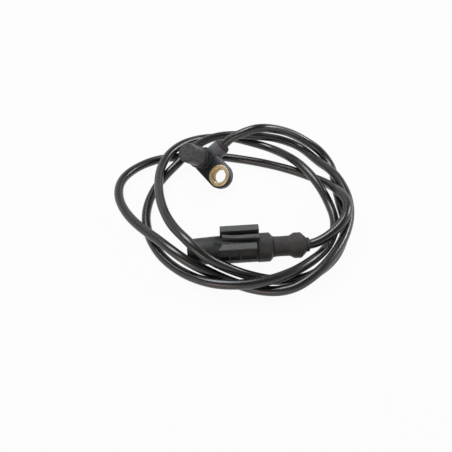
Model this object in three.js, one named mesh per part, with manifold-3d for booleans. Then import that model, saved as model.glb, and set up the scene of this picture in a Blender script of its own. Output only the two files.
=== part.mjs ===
// Wheel speed sensor with its cable and plug, lying on a flat surface.
// Millimetres, +Z up. The origin is on the surface, under the middle of the sensor head.
import * as THREE from 'three';
import { mergeVertices } from 'three/addons/utils/BufferGeometryUtils.js';
import Module from 'manifold-3d';

const wasm = await Module();
wasm.setup();

// Shared sizes
const gap = 0.3;                    // clearance between two separate pieces
const cableRadius = 2.6;
const coreRadius = 0.65;            // one insulated conductor
const cableBore = cableRadius + gap;

// Sensor head: where it lies and how it is turned
const barrelAxis = new THREE.Vector3(-0.400, -0.546, 0.736);
const lugAxis = new THREE.Vector3(0.634, -0.745, -0.208);
const bushPlace = new THREE.Vector3(7.1, -7.5, 8.19);   // bush axis at the lug's seating face

// Sensor head: lug and bush
const lugReach = 14.8;              // barrel axis to bush axis
const lugRadius = 7.6;
const lugThickness = 4.5;
const lugEdge = 0.4;
const bushRadius = 6.5;
const bushBore = 4.3;
const bushProud = 0.3;              // how far the bush stands out of each face

// Sensor head: barrel
const neckRadius = 5.2;
const neckCollarRadius = 6.0;
const neckCollarHeight = 0.9;
const barrelRadius = 5.7;
const barrelLength = 21.2;
const barrelChamfer = 0.7;
const sealSectionRadius = 0.8;      // O-ring section
const sealHeight = 7.4;             // O-ring middle above the lug
const sealGrooveRadius = 4.6;
const sealGrooveWidth = 2 * sealSectionRadius + 2 * gap;
const chamberRadius = 3.7;
const chamberFloor = -6.4;
const baseRadius = 6.3;
const baseDepth = 8.8;
const baseChamfer = 1.0;

// Sensor head: cable boss, which leaves the barrel's foot sideways
const bossTurn = THREE.MathUtils.degToRad(8);
const bossHeight = -3.5;
const bossRadius = 5.1;
const bossLength = 12.8;
const bossChamfer = 0.9;
const passageRadius = 3.0;
const grommetRadius = 3.6;
const grommetLength = 4.6;
const cableInsertion = 6.0;         // how far the cable reaches into the boss
const reliefRadius = 4.7;
const reliefTipRadius = 3.4;
const reliefLength = 3.2;

// Sensor head: what is inside
const capRadius = 4.7;
const capThickness = 1.0;
const capSpigotLength = 0.9;
const chipSize = { x: 5.2, y: 4.4, z: 1.6 };
const magnetSize = { x: 4.0, y: 2.5, z: 4.0 };
const carrierLength = 11.5;
const leadWidth = 0.8;
const leadThickness = 0.4;
const leadSpacing = 1.5;            // each lead's distance from the middle
const crimpRadius = 1.25;
const crimpLength = 2.6;

// Plug: outside, stations measured back from the mating end
const plugAxisHeight = 7.7;
const plugFront = new THREE.Vector3(-8.8, -64.1, plugAxisHeight);
const plugTurn = THREE.MathUtils.degToRad(4.5);
const plugNoseRadius = 6.6;
const plugRadius = 6.9;
const plugTaperLength = 5.0;
const plugGirth = 7.4;                // its radius under the latch guard
const nearRailStart = 15.7;          // the near wall's outer edge stands further forward
const nearRailSkew = 2.4;            // and its inner edge this much further back
const farRailStart = 17.8;
const railEnd = 36.7;
const railTailSlope = 1.2;           // how far both walls' tails lean forward at the top
const railTop = 10.1;
const railOuter = 8.0;
const railInner = 4.1;
const railFoot = -0.6;
const tongueStart = 18.2;
const tongueHalfWidth = 1.1;
const tongueTop = 10.4;
const tongueThickness = 1.7;
const tongueRootLength = 4.0;
const rampStart = 13.7;
const rampDepth = 1.9;
const panelDepth = 0.5;
const panelRibs = [21.6, 27.2];
const panelRibWidth = 0.7;
const panelMargin = 0.8;
const panelFoot = 0.2;               // the panels' lower edge
const collarRadius = 7.6;
const collarEnd = 43.0;
const collarChamfer = 1.5;

// Plug: boot and clamp ring on the cable side
const sleeveRadius = 5.4;
const bulgeRadius = 6.8;
const bulgeStart = 53.6;
const bulgeCrestStart = 56.2;
const bulgeCrestEnd = 59.6;
const bootEnd = 62.2;
const ringRadius = 3.8;
const plugLength = 64.1;

// Plug: inside
const socketRadius = 5.4;
const socketDepth = 15.5;
const webThickness = 3.0;
const cavityRadius = 4.5;
const pinRadius = 0.75;
const pinTip = 8.0;
const pinSpacing = 2.15;
const pinBodyRadius = 1.2;
const pinBodyLength = 6.0;
const blockLength = 14.0;
const wireSealRadius = 1.6;
const wireSealLength = 5.0;
const bootSpigotLength = 7.0;
const cableEndInPlug = 48.5;
const faceSealThickness = 1.4;
const faceSealWidth = 1.2;
const ringSpigotLength = 1.8;
const ringSpigotRadius = 3.4;

// The cable's route from the head to the plug. Each point was picked in the view of the loops,
// and its height chosen from what lies under it there.
const route = [
  [22.5, 12.2, 25.2], [30.0, 14.0, 26.8], [39.0, 17.3, 23.6], [50.0, 21.5, 17.4], [60.5, 22.0, 11.0],
  [70.6, 17.2, 6.2], [77.2, 5.4, 2.7], [77.0, -9.5, 2.7], [77.6, -25.0, 2.7], [78.4, -40.5, 2.7],
  [74.5, -54.0, 2.7], [66.0, -67.5, 2.7], [52.0, -77.0, 2.7], [36.5, -78.4, 2.7], [23.0, -76.6, 4.4],
  [10.0, -75.2, 10.6], [-1.3, -72.0, 16.8], [-8.5, -65.0, 19.0], [-15.5, -55.9, 17.4], [-20.9, -45.3, 15.6],
  [-25.2, -32.2, 13.4], [-27.8, -16.5, 11.0], [-27.8, -1.5, 9.3], [-23.0, 13.0, 8.8], [-14.0, 24.0, 7.2],
  [-2.0, 33.5, 2.9], [12.0, 34.6, 2.7], [27.0, 29.6, 2.7], [41.0, 22.0, 3.4], [52.0, 8.5, 7.4],
  [60.0, -4.5, 9.2], [66.5, -16.5, 7.4], [71.6, -28.5, 3.4], [72.5, -41.5, 2.7], [66.5, -56.0, 2.7],
  [54.5, -70.0, 6.8], [40.0, -80.0, 9.0], [22.5, -84.9, 9.2], [5.4, -83.6, 7.8], [-8.7, -76.0, 4.2],
  [-21.2, -65.2, 2.7], [-30.0, -51.7, 2.7], [-34.2, -36.0, 2.7], [-33.0, -20.0, 2.7], [-27.5, -5.0, 2.8],
  [-17.5, 5.5, 7.2], [-9.0, 17.0, 9.0], [2.5, 26.4, 9.2], [16.5, 29.6, 8.8], [30.5, 28.1, 9.2],
  [45.0, 29.5, 5.6], [59.0, 25.0, 2.8], [67.9, 10.5, 4.2], [75.6, -5.0, 8.4], [80.0, -20.0, 9.2],
  [80.6, -34.0, 9.2], [77.0, -48.8, 9.2], [69.4, -63.4, 9.2], [58.5, -76.5, 8.6], [43.5, -85.5, 5.4],
  [28.5, -84.5, 2.8], [13.5, -80.0, 4.0], [1.0, -76.0, 8.0], [-7.0, -74.0, 11.8], [-15.0, -68.5, 13.4],
  [-24.5, -59.0, 12.0], [-35.5, -48.4, 9.8], [-45.0, -36.3, 8.4], [-50.8, -23.0, 7.4], [-50.9, -9.0, 6.2],
  [-43.6, 3.5, 4.4], [-31.8, 12.6, 2.8], [-15.0, 15.6, 2.7], [2.0, 16.0, 2.7], [18.5, 13.4, 2.7],
  [35.0, 9.3, 2.7], [51.0, 3.4, 2.7], [64.0, -3.5, 2.8], [72.0, -12.0, 5.6], [75.5, -25.5, 13.0],
  [78.0, -36.5, 15.8], [74.5, -48.0, 15.6], [66.5, -55.6, 11.8], [61.0, -57.9, 9.2],
];
const cableSides = 10;
const cableSteps = 80;
const straightRun = 4.7;             // cable kept straight beyond the strain relief

// Finishes
const plastic = { color: 0x2b2c2e, roughness: 0.55, metalness: 0.0 };
const glossPlastic = { color: 0x17191a, roughness: 0.3, metalness: 0.0 };
const rubber = { color: 0x222324, roughness: 0.7, metalness: 0.0 };
const silicone = { color: 0xb5532a, roughness: 0.5, metalness: 0.0 };
const whitePlastic = { color: 0xd8d6cc, roughness: 0.5, metalness: 0.0 };
const brass = { color: 0xc9a96a, roughness: 0.35, metalness: 1.0 };
const tin = { color: 0xb9bcbe, roughness: 0.3, metalness: 1.0 };
const magnetIron = { color: 0x4a4a4c, roughness: 0.5, metalness: 0.8 };
const insulationA = { color: 0x3a3f8a, roughness: 0.5, metalness: 0.0 };
const insulationB = { color: 0x8a5a3a, roughness: 0.5, metalness: 0.0 };

// A geometry with shared vertices and no zero-size faces, as a closed body needs
function closed(geometry) {
  geometry.deleteAttribute('normal');
  geometry.deleteAttribute('uv');
  const merged = mergeVertices(geometry, 1e-4);
  const old = merged.index.array;
  const kept = [];
  for (let i = 0; i < old.length; i += 3) {
    const [a, b, c] = [old[i], old[i + 1], old[i + 2]];
    if (a !== b && b !== c && c !== a) {
      kept.push(a, b, c);
    }
  }
  merged.setIndex(kept);
  merged.clearGroups();
  return merged;
}

function solid(geometry) {
  const body = closed(geometry);
  return new wasm.Manifold(new wasm.Mesh({
    numProp: 3,
    vertProperties: new Float32Array(body.attributes.position.array),
    triVerts: new Uint32Array(body.index.array),
  }));
}

function surface(manifold) {
  const { vertProperties, triVerts } = manifold.getMesh();
  const geometry = new THREE.BufferGeometry();
  geometry.setAttribute('position', new THREE.BufferAttribute(vertProperties, 3));
  geometry.setIndex(new THREE.BufferAttribute(triVerts, 1));
  geometry.computeVertexNormals();
  return geometry;
}

// A profile of [radius, height] pairs turned about the Z axis
function turned(profile, segments = 40) {
  const points = profile.map(([radius, height]) => new THREE.Vector2(radius, height));
  return new THREE.LatheGeometry(points, segments).rotateX(Math.PI / 2);
}

// A round bar, or a tube where inner is given, from one height to another
function bar(radius, from, to, segments = 40) {
  return turned([[0, from], [radius, from], [radius, to], [0, to]], segments);
}

function tube(outer, inner, from, to, segments = 32) {
  return turned([[inner, from], [outer, from], [outer, to], [inner, to], [inner, from]], segments);
}

function block(x, y, z, centre) {
  return new THREE.BoxGeometry(x, y, z).translate(centre[0], centre[1], centre[2]);
}

function piece(name, geometry, finish) {
  const mesh = new THREE.Mesh(geometry, new THREE.MeshStandardMaterial(finish));
  mesh.name = name;
  return mesh;
}

// Head frame: local x runs along the lug, local y across it and local z up the barrel
const head = new THREE.Group();
const up = barrelAxis.clone().normalize();
const along = lugAxis.clone().addScaledVector(up, -lugAxis.dot(up)).normalize();
const across = new THREE.Vector3().crossVectors(up, along);
head.quaternion.setFromRotationMatrix(new THREE.Matrix4().makeBasis(along, across, up));
head.position.copy(bushPlace).addScaledVector(along, -lugReach);

// Turns a body made about Z so that it runs along the cable boss
function alongBoss(geometry) {
  return geometry.rotateX(-Math.PI / 2).rotateZ(-bossTurn).translate(0, 0, bossHeight);
}

function lugPlate() {
  const outline = new THREE.Shape();
  outline.absarc(lugReach, 0, lugRadius, -Math.PI / 2, Math.PI / 2, false);
  outline.absarc(0, 0, lugRadius, Math.PI / 2, 3 * Math.PI / 2, false);
  return new THREE.ExtrudeGeometry(outline, {
    depth: lugThickness - 2 * lugEdge,
    bevelThickness: lugEdge,
    bevelSize: lugEdge,
    bevelOffset: -lugEdge,
    bevelSegments: 1,
    curveSegments: 18,
  }).translate(0, 0, lugEdge - lugThickness);
}

function sensorHousing() {
  const grooveLow = sealHeight - sealGrooveWidth / 2;
  const grooveHigh = sealHeight + sealGrooveWidth / 2;
  const barrel = turned([
    [0, -1], [neckCollarRadius, -1], [neckCollarRadius, neckCollarHeight],
    [neckRadius, neckCollarHeight + (neckCollarRadius - neckRadius)],
    [neckRadius, grooveLow], [sealGrooveRadius, grooveLow], [sealGrooveRadius, grooveHigh],
    [barrelRadius, grooveHigh], [barrelRadius, barrelLength - barrelChamfer],
    [barrelRadius - barrelChamfer, barrelLength], [0, barrelLength],
  ]);
  const base = turned([
    [0, -baseDepth], [baseRadius - baseChamfer, -baseDepth], [baseRadius, -baseDepth + baseChamfer],
    [baseRadius, -1], [0, -1],
  ]);
  const boss = alongBoss(turned([
    [0, 0], [bossRadius, 0], [bossRadius, bossLength - bossChamfer],
    [bossRadius - bossChamfer, bossLength], [0, bossLength],
  ]));
  const bushHole = bar(bushRadius + gap, -lugThickness - 1, 1).translate(lugReach, 0, 0);
  const chamber = bar(chamberRadius, chamberFloor, barrelLength + 1, 32);
  const capSeat = bar(capRadius + gap, barrelLength - capThickness - gap, barrelLength + 1);
  const passage = alongBoss(bar(passageRadius, 0, bossLength + 1, 28));
  const grommetSeat = alongBoss(bar(grommetRadius + gap, bossLength - grommetLength - gap, bossLength + 1, 28));
  return surface(solid(lugPlate())
    .add(solid(base))
    .add(solid(barrel))
    .add(solid(boss))
    .subtract(solid(bushHole))
    .subtract(solid(chamber))
    .subtract(solid(capSeat))
    .subtract(solid(passage))
    .subtract(solid(grommetSeat)));
}

function bush() {
  const edge = 0.25;
  const low = -lugThickness - bushProud;
  const high = bushProud;
  const profile = [
    [bushBore, low + edge], [bushBore + edge, low], [bushRadius - edge, low], [bushRadius, low + edge],
    [bushRadius, high - edge], [bushRadius - edge, high], [bushBore + edge, high], [bushBore, high - edge],
    [bushBore, low + edge],
  ];
  return closed(turned(profile, 48).translate(lugReach, 0, 0));
}

function sealRing() {
  const middle = sealGrooveRadius + gap + sealSectionRadius;
  return closed(new THREE.TorusGeometry(middle, sealSectionRadius, 10, 40).translate(0, 0, sealHeight));
}

function sensorCap() {
  const spigot = chamberRadius - gap;
  const under = barrelLength - capThickness;
  return closed(turned([
    [0, under - capSpigotLength], [spigot, under - capSpigotLength], [spigot, under],
    [capRadius, under], [capRadius, barrelLength], [0, barrelLength],
  ]));
}

// What stands in the chamber, from the cap down
const chipTop = barrelLength - capThickness - capSpigotLength - gap;
const chipFloor = chipTop - chipSize.z;
const magnetTop = chipFloor - gap;
const magnetFloor = magnetTop - magnetSize.z;
const carrierTop = magnetFloor - gap;
const crimpTop = bossHeight + crimpRadius;
const leadFace = 0.1;               // where the leads' flat side lies, across the chamber

// Half-round holder that backs the leads
function leadCarrier() {
  const radius = chamberRadius - gap;
  const flat = -gap + leadFace;
  const start = Math.asin(flat / radius);
  const section = new THREE.Shape();
  section.absarc(0, 0, radius, Math.PI - start, 2 * Math.PI + start, false);
  return closed(new THREE.ExtrudeGeometry(section, {
    depth: carrierLength,
    bevelEnabled: false,
    curveSegments: 12,
  }).translate(0, 0, carrierTop - carrierLength));
}

// A flat strip from the chip down to its crimp
function lead(side) {
  const high = chipFloor - gap;
  const low = crimpTop + gap;
  const y = leadFace + leadThickness / 2;
  return block(leadWidth, leadThickness, high - low, [side * leadSpacing, y, (high + low) / 2]);
}

function crimp(side) {
  const ring = tube(crimpRadius, coreRadius + gap, -crimpLength / 2, crimpLength / 2, 16);
  return closed(ring.rotateX(-Math.PI / 2).translate(side * leadSpacing, 0, bossHeight));
}

// A conductor that leaves the cable's end and bends out to its crimp or pin
function conductor(points) {
  const section = new THREE.Shape();
  section.absarc(0, 0, coreRadius, 0, 2 * Math.PI, false);
  return closed(new THREE.ExtrudeGeometry(section, {
    steps: 8,
    curveSegments: 4,
    bevelEnabled: false,
    extrudePath: new THREE.CatmullRomCurve3(points, false, 'centripetal'),
  }));
}

const exitLine = new THREE.Vector3(Math.sin(bossTurn), Math.cos(bossTurn), 0);
const exitSide = new THREE.Vector3(Math.cos(bossTurn), -Math.sin(bossTurn), 0);
const corePairing = coreRadius + gap / 2;

function onBoss(distance, side) {
  return new THREE.Vector3(0, 0, bossHeight)
    .addScaledVector(exitLine, distance)
    .addScaledVector(exitSide, side);
}

function headCore(side) {
  const mouth = cableInsertion - gap;
  return conductor([
    new THREE.Vector3(side * leadSpacing, -crimpLength / 2, bossHeight),
    new THREE.Vector3(side * leadSpacing, crimpLength / 2, bossHeight),
    onBoss(mouth - 1.5, side * corePairing),
    onBoss(mouth, side * corePairing),
  ]);
}

function grommet() {
  return closed(alongBoss(tube(grommetRadius, cableBore, bossLength - grommetLength, bossLength)));
}

function strainRelief() {
  const start = bossLength + gap;
  return closed(alongBoss(turned([
    [cableBore, start], [reliefRadius, start], [reliefRadius, start + 1],
    [reliefTipRadius, start + reliefLength], [cableBore, start + reliefLength], [cableBore, start],
  ], 32)));
}

head.add(piece('sensor_housing', sensorHousing(), plastic));
head.add(piece('mounting_bush', bush(), brass));
head.add(piece('barrel_seal', sealRing(), rubber));
head.add(piece('sensor_cap', sensorCap(), plastic));
head.add(piece('sensing_chip', block(chipSize.x, chipSize.y, chipSize.z, [0, 0, chipFloor + chipSize.z / 2]),
  glossPlastic));
head.add(piece('bias_magnet', block(magnetSize.x, magnetSize.y, magnetSize.z,
  [0, leadFace - gap - magnetSize.y / 2, magnetFloor + magnetSize.z / 2]), magnetIron));
head.add(piece('lead_carrier', leadCarrier(), whitePlastic));
[['a', -1], ['b', 1]].forEach(([letter, side]) => {
  head.add(piece(`sensor_lead_${letter}`, lead(side), tin));
  head.add(piece(`crimp_${letter}`, crimp(side), tin));
  head.add(piece(`head_core_${letter}`, headCore(side), side < 0 ? insulationA : insulationB));
});
head.add(piece('boss_grommet', grommet(), rubber));
head.add(piece('strain_relief', strainRelief(), rubber));

// Plug frame: local x runs from the mating end to the cable, local z up
const plug = new THREE.Group();
plug.position.copy(plugFront);
plug.rotation.z = plugTurn;

function alongPlug(geometry) {
  return geometry.rotateY(Math.PI / 2);
}

// A flat shape in the plug's upright plane, carried across it from one side to the other
function acrossPlug(section, from, to) {
  return new THREE.ExtrudeGeometry(section, { depth: to - from, bevelEnabled: false })
    .rotateX(Math.PI / 2).translate(0, to, 0);
}

// One side of the latch guard: an upright wall with a flat outer face and a flat top. Both tails
// lean forward towards the top, and the near wall's nose runs back from its outer edge
function guardRail(side) {
  const start = side < 0 ? nearRailStart : farRailStart;
  const section = new THREE.Shape();
  section.moveTo(side * railInner, plugRadius / 2);
  section.lineTo(side * railInner, railTop);
  section.lineTo(side * railOuter, railTop);
  section.lineTo(side * railOuter, railFoot);
  section.lineTo(side * plugRadius * 0.9, railFoot - 1.5);
  section.lineTo(side * socketRadius * 0.9, railFoot);
  const wall = new THREE.ExtrudeGeometry(section, { depth: railEnd - start, bevelEnabled: false });
  const tail = new THREE.Shape();
  tail.moveTo(railEnd, plugRadius + 0.2);
  tail.lineTo(railEnd + 1, plugRadius + 0.2);
  tail.lineTo(railEnd + 1, railTop + 1);
  tail.lineTo(railEnd - railTailSlope, railTop + 1);
  let body = solid(wall.rotateX(Math.PI / 2).rotateZ(Math.PI / 2).translate(start, 0, 0))
    .subtract(solid(acrossPlug(tail, -2 * railOuter, 2 * railOuter)));
  if (side < 0) {
    const nose = new THREE.Shape();
    nose.moveTo(start - 1, -railOuter - 1);
    nose.lineTo(start, -railOuter - 1);
    nose.lineTo(start, -railOuter);
    nose.lineTo(start + nearRailSkew, -railInner);
    nose.lineTo(start + nearRailSkew, 1 - railInner);
    nose.lineTo(start - 1, 1 - railInner);
    body = body.subtract(solid(new THREE.ExtrudeGeometry(nose, { depth: 4 * railTop, bevelEnabled: false })
      .translate(0, 0, -2 * railTop)));
  }
  return body;
}

// Shallow panels in each wall's outer face, with two upright ribs left between them
function panels(side) {
  const start = side < 0 ? nearRailStart : farRailStart;
  const stops = [start + panelMargin, ...panelRibs, railEnd - panelMargin];
  const high = railTop - panelMargin;
  const cuts = [];
  for (let i = 0; i + 1 < stops.length; i += 1) {
    const from = stops[i] + (i > 0 ? panelRibWidth / 2 : 0);
    const to = stops[i + 1] - (i + 2 < stops.length ? panelRibWidth / 2 : 0);
    cuts.push(solid(block(to - from, 2 * panelDepth, high - panelFoot,
      [(from + to) / 2, side * railOuter, (panelFoot + high) / 2])));
  }
  return cuts;
}

function latchRamp() {
  const section = new THREE.Shape();
  section.moveTo(rampStart, plugRadius + 0.5);
  section.lineTo(rampStart, plugRadius);
  section.lineTo(tongueStart, plugRadius - rampDepth);
  section.lineTo(railEnd - tongueRootLength, plugRadius - rampDepth);
  section.lineTo(railEnd - tongueRootLength, tongueTop - tongueThickness);
  section.lineTo(tongueStart, tongueTop - tongueThickness);
  section.lineTo(tongueStart, plugRadius + 0.5);
  return acrossPlug(section, -railInner, railInner);
}

function plugHousing() {
  const cavityStart = socketDepth + webThickness;
  const core = turned([
    [0, 0], [plugNoseRadius - 0.5, 0], [plugNoseRadius, 0.5], [plugRadius, plugTaperLength],
    [plugGirth, nearRailStart], [plugGirth, railEnd], [collarRadius, railEnd], [collarRadius, collarEnd],
    [collarRadius - collarChamfer, collarEnd + collarChamfer], [0, collarEnd + collarChamfer],
  ], 48);
  const tongueDepth = railEnd + 0.5 - tongueStart;
  const tongue = block(tongueDepth, 2 * tongueHalfWidth, tongueTop - plugRadius / 2,
    [tongueStart + tongueDepth / 2, 0, (tongueTop + plugRadius / 2) / 2]);
  let body = solid(alongPlug(core))
    .add(guardRail(1))
    .add(guardRail(-1))
    .add(solid(tongue))
    .subtract(solid(latchRamp()));
  [...panels(1), ...panels(-1)].forEach((cut) => {
    body = body.subtract(cut);
  });
  body = body
    .subtract(solid(alongPlug(bar(socketRadius, -1, socketDepth, 32))))
    .subtract(solid(alongPlug(bar(cavityRadius, cavityStart, collarEnd + collarChamfer + 1, 32))));
  [-1, 1].forEach((side) => {
    const hole = alongPlug(bar(pinRadius + gap, socketDepth - 1, cavityStart + 1, 16));
    body = body.subtract(solid(hole.translate(0, side * pinSpacing, 0)));
  });
  return surface(body);
}

const blockStart = socketDepth + webThickness + gap;
const blockEnd = blockStart + blockLength;
const pinBodyStart = blockStart + 1;
const wireSealStart = blockEnd - wireSealLength - 1;

function contactPin(side) {
  const end = pinBodyStart + pinBodyLength;
  const pin = turned([
    [0, pinTip], [pinRadius * 0.5, pinTip], [pinRadius, pinTip + 0.8], [pinRadius, pinBodyStart],
    [pinBodyRadius, pinBodyStart], [pinBodyRadius, end], [0, end],
  ], 16);
  return closed(alongPlug(pin).translate(0, side * pinSpacing, 0));
}

function terminalBlock() {
  let body = solid(alongPlug(bar(cavityRadius - gap, blockStart, blockEnd, 32)));
  [-1, 1].forEach((side) => {
    const step = [
      bar(pinRadius + gap, blockStart - 1, pinBodyStart, 16),
      bar(pinBodyRadius + gap, pinBodyStart - gap, wireSealStart, 16),
      bar(wireSealRadius + gap, wireSealStart - gap, blockEnd + 1, 16),
    ];
    step.forEach((cut) => {
      body = body.subtract(solid(alongPlug(cut).translate(0, side * pinSpacing, 0)));
    });
  });
  return surface(body);
}

function wireSeal(side) {
  const ridge = wireSealRadius;
  const root = wireSealRadius - 0.25;
  const inner = coreRadius + gap;
  const pitch = wireSealLength / 3;
  const profile = [[inner, wireSealStart]];
  for (let i = 0; i < 3; i += 1) {
    const from = wireSealStart + i * pitch;
    profile.push([root, from], [ridge, from + pitch * 0.3], [ridge, from + pitch * 0.7]);
  }
  profile.push([root, wireSealStart + wireSealLength], [inner, wireSealStart + wireSealLength]);
  profile.push([inner, wireSealStart]);
  return closed(alongPlug(turned(profile, 16)).translate(0, side * pinSpacing, 0));
}

function plugCore(side) {
  const start = pinBodyStart + pinBodyLength + gap;
  const end = cableEndInPlug - gap;
  return conductor([
    new THREE.Vector3(start, side * pinSpacing, 0),
    new THREE.Vector3(blockEnd - 1, side * pinSpacing, 0),
    new THREE.Vector3(end - 1.5, side * corePairing, 0),
    new THREE.Vector3(end, side * corePairing, 0),
  ]);
}

function boot() {
  const join = collarEnd + collarChamfer + gap;
  const spigot = cavityRadius - gap;
  const counterbore = ringSpigotRadius + gap;
  const profile = [
    [cableBore, join - bootSpigotLength], [spigot, join - bootSpigotLength], [spigot, join],
    [sleeveRadius + 0.3, join], [sleeveRadius, join + 1.2], [sleeveRadius - 0.1, (join + bulgeStart) / 2],
    [sleeveRadius, bulgeStart], [bulgeRadius, bulgeCrestStart], [bulgeRadius, bulgeCrestEnd],
    [ringRadius + 0.6, bootEnd], [counterbore, bootEnd], [counterbore, bootEnd - ringSpigotLength - gap],
    [cableBore, bootEnd - ringSpigotLength - gap], [cableBore, join - bootSpigotLength],
  ];
  return closed(alongPlug(turned(profile, 40)));
}

function clampRing() {
  const seat = bootEnd + gap;
  return closed(alongPlug(turned([
    [cableBore, bootEnd - ringSpigotLength], [ringSpigotRadius, bootEnd - ringSpigotLength],
    [ringSpigotRadius, seat], [ringRadius, seat], [ringRadius, plugLength - 0.3],
    [ringRadius - 0.3, plugLength], [cableBore, plugLength], [cableBore, bootEnd - ringSpigotLength],
  ], 32)));
}

function faceSeal() {
  const outer = socketRadius - gap;
  const back = socketDepth - gap;
  return closed(alongPlug(tube(outer, outer - faceSealWidth, back - faceSealThickness, back)));
}

plug.add(piece('plug_housing', plugHousing(), plastic));
plug.add(piece('terminal_block', terminalBlock(), whitePlastic));
[['a', -1], ['b', 1]].forEach(([letter, side]) => {
  plug.add(piece(`contact_pin_${letter}`, contactPin(side), tin));
  plug.add(piece(`wire_seal_${letter}`, wireSeal(side), silicone));
  plug.add(piece(`plug_core_${letter}`, plugCore(side), side < 0 ? insulationA : insulationB));
});
plug.add(piece('face_seal', faceSeal(), silicone));
plug.add(piece('rear_boot', boot(), rubber));
plug.add(piece('cable_clamp_ring', clampRing(), plastic));

// The cable starts inside the boss, follows the route and ends inside the plug's boot
function headPoint(distance) {
  head.updateMatrixWorld();
  return onBoss(distance, 0).applyMatrix4(head.matrixWorld);
}

function plugPoint(station) {
  plug.updateMatrixWorld();
  return new THREE.Vector3(station, 0, 0).applyMatrix4(plug.matrixWorld);
}

function cable() {
  const reliefEnd = bossLength + gap + reliefLength;
  const points = [
    headPoint(cableInsertion),
    headPoint((cableInsertion + reliefEnd) / 2),
    headPoint(reliefEnd),
    headPoint(reliefEnd + straightRun),
    ...route.map(([x, y, z]) => new THREE.Vector3(x, y, z)),
    plugPoint(plugLength),
    plugPoint(bulgeCrestStart),
    plugPoint((bulgeCrestStart + cableEndInPlug) / 2),
    plugPoint(cableEndInPlug),
  ];
  const section = new THREE.Shape();
  for (let i = 0; i < cableSides; i += 1) {
    const angle = (2 * Math.PI * i) / cableSides;
    const x = cableRadius * Math.cos(angle);
    const y = cableRadius * Math.sin(angle);
    if (i === 0) {
      section.moveTo(x, y);
    } else {
      section.lineTo(x, y);
    }
  }
  return closed(new THREE.ExtrudeGeometry(section, {
    steps: cableSteps,
    bevelEnabled: false,
    extrudePath: new THREE.CatmullRomCurve3(points, false, 'centripetal'),
  }));
}

const sensor = new THREE.Group();
sensor.add(head, plug, piece('cable', cable(), glossPlastic));

export default sensor;
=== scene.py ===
"""Wheel speed sensor with its looped cable and two-pin plug: fine surfaces, finishes, light and camera.

Sizes are in millimetres, as in the part's source, and turn into metres where a mesh is made.
"""
import math

import bmesh
import bpy
import numpy as np
from mathutils import Matrix, Vector


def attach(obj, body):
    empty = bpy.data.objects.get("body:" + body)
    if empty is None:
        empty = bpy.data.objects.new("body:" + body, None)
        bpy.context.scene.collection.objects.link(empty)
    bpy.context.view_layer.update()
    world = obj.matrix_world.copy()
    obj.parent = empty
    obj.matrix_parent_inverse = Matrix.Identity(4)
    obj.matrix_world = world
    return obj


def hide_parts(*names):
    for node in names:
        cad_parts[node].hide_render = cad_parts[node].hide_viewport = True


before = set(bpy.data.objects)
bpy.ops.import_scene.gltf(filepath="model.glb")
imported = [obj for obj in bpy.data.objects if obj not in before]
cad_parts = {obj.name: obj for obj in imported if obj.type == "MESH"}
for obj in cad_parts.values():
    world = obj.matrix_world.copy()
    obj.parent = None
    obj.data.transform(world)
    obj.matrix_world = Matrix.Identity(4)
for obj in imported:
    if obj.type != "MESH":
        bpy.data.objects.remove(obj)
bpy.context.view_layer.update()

MM = 0.001
# The gap between neighbouring pieces
GAP = 0.3

# Moulded pieces keep a crease where their faces turn by more than this many degrees
CREASE = 34
# Doubles left by a cut are merged within this many metres
SLIVER = 1e-9
# A corner is taken as straight where half its angle is wider than this
STRAIGHT = math.radians(88)

# Sensor head
BARREL_AXIS = np.array([-0.400, -0.546, 0.736])
LUG_AXIS = np.array([0.634, -0.745, -0.208])
BUSH_PLACE = np.array([7.1, -7.5, 8.19])
LUG_REACH = 14.8
LUG_RADIUS = 7.6
LUG_THICKNESS = 4.5
LUG_EDGE = 0.9
BUSH_RADIUS = 6.5
BUSH_BORE = 4.15
BUSH_PROUD = 0.3
BUSH_CLEARANCE = 0.06
NECK_RADIUS = 5.2
NECK_COLLAR_RADIUS = 6.0
NECK_COLLAR_HEIGHT = 0.9
BARREL_RADIUS = 5.7
BARREL_LENGTH = 21.2
SEAL_SECTION_RADIUS = 0.8
SEAL_HEIGHT = 7.4
SEAL_GROOVE_RADIUS = 4.6
CHAMBER_RADIUS = 3.7
CHAMBER_FLOOR = -6.4
BASE_RADIUS = 6.3
BASE_DEPTH = 8.8
BASE_EDGE = 1.2
BOSS_TURN = math.radians(8)
BOSS_HEIGHT = -3.5
BOSS_RADIUS = 5.1
BOSS_LENGTH = 12.8
BOSS_EDGE = 0.35
PASSAGE_RADIUS = 3.0
GROMMET_RADIUS = 3.6
GROMMET_LENGTH = 4.6
CABLE_INSERTION = 6.0
RELIEF_RADIUS = 4.9
RELIEF_TIP_RADIUS = 3.4
RELIEF_LENGTH = 3.2
RELIEF_DOME = 2.3
CAP_RADIUS = 4.7
CAP_THICKNESS = 1.0
CAP_SPIGOT = 0.9
CAP_CLEARANCE = 0.08

# Plug
PLUG_FRONT = np.array([-8.8, -64.1, 7.7])
PLUG_TURN = math.radians(4.5)
PLUG_NOSE_RADIUS = 6.6
PLUG_RADIUS = 6.9
PLUG_TAPER = 5.0
PLUG_GIRTH = 7.4
NEAR_RAIL_SKEW = 2.4
RAIL_END = 36.7
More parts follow.
